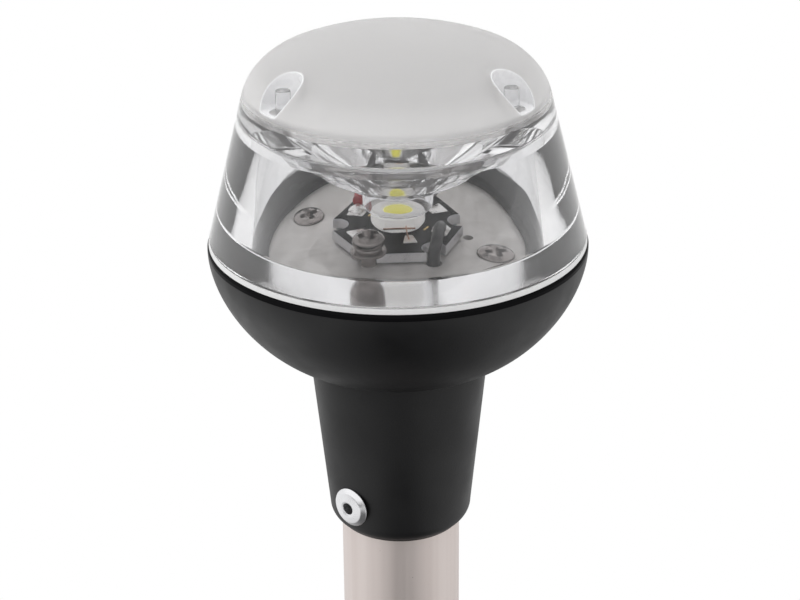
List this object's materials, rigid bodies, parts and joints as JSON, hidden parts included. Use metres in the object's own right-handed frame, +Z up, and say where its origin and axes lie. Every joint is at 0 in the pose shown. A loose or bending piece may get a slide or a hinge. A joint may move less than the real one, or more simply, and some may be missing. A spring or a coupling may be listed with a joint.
{
  "type": "navigation light",
  "caption": "All-round LED stern light on a plug-in aluminium pole, with a clear lens, a black bowl housing and a sliding locking collar.",
  "frame": {"origin": "middle of the plug's flat lower face, between its two contact pins", "axes": "+Z up the pole towards the lens, +X from the thin contact pin to the thick one, +Y towards the plug's key"},
  "size_m": [0.0586, 0.0586, 0.254],
  "materials": {
    "clear_polycarbonate": "clear moulded polycarbonate, polished",
    "frosted_polycarbonate": "fine frosted polycarbonate",
    "black_nylon": "black nylon, fine moulded grain",
    "black_rubber": "matt",
    "white_silicone": "satin",
    "plate_aluminium": "satin, faintly marked",
    "pole_aluminium": "satin drawn tube with lines along it",
    "rivet_aluminium": "bright, slightly marked",
    "stainless_steel": "bright",
    "solder": "tinned, uneven",
    "pin_brass": "turned brass",
    "black_board": "black solder mask over aluminium",
    "green_board": "green solder mask",
    "led_white": "milky resin",
    "led_yellow": "yellow phosphor under clear silicone",
    "red_sleeve": "PVC sleeve",
    "black_sleeve": "PVC sleeve",
    "grey_thermal_pad": "matt"
  },
  "bodies": {
    "light": {"globe_lens": "clear_polycarbonate", "frosted_cap": "frosted_polycarbonate", "lens_seal": "white_silicone", "base_housing": "black_nylon", "heat_sink_plate": "plate_aluminium", "plate_screw_front": "stainless_steel", "plate_screw_back": "stainless_steel", "thermal_pad": "grey_thermal_pad", "star_board": "black_board", "led_body": "led_white", "led_phosphor": "led_yellow", "led_lead_front": "solder", "led_lead_back": "solder", "star_screw_front": "stainless_steel", "star_screw_back": "stainless_steel", "spring_washer_front": "stainless_steel", "spring_washer_back": "stainless_steel", "flat_washer_front": "stainless_steel", "flat_washer_back": "stainless_steel", "red_wire": "red_sleeve", "black_wire": "black_sleeve", "driver_board": "green_board", "driver_inductor": "black_rubber", "driver_chip": "black_board", "driver_capacitor": "solder", "cable_grommet": "black_rubber", "head_rivet_front": "rivet_aluminium", "head_rivet_back": "rivet_aluminium", "rivet_stem_front": "stainless_steel", "rivet_stem_back": "stainless_steel", "pole": "pole_aluminium", "plug_body": "black_nylon", "contact_pin_positive": "pin_brass", "contact_pin_negative": "pin_brass", "plug_cross_pin": "stainless_steel", "plug_sealing_ring": "black_rubber", "supply_lead_red": "red_sleeve", "supply_lead_black": "black_sleeve"},
    "washer": {"collar_washer": "stainless_steel"},
    "collar": {"lock_collar": "black_nylon"}
  },
  "joints": [
    {"name": "collar_slide", "type": "slide", "parent": "light", "child": "washer", "axis": [0, 0, 1], "range_m": [0, 0.14]},
    {"name": "collar_turn", "type": "hinge", "parent": "washer", "child": "collar", "pos_m": [0, 0, 0.02], "axis": [0, 0, 1], "continuous": true}
  ]
}
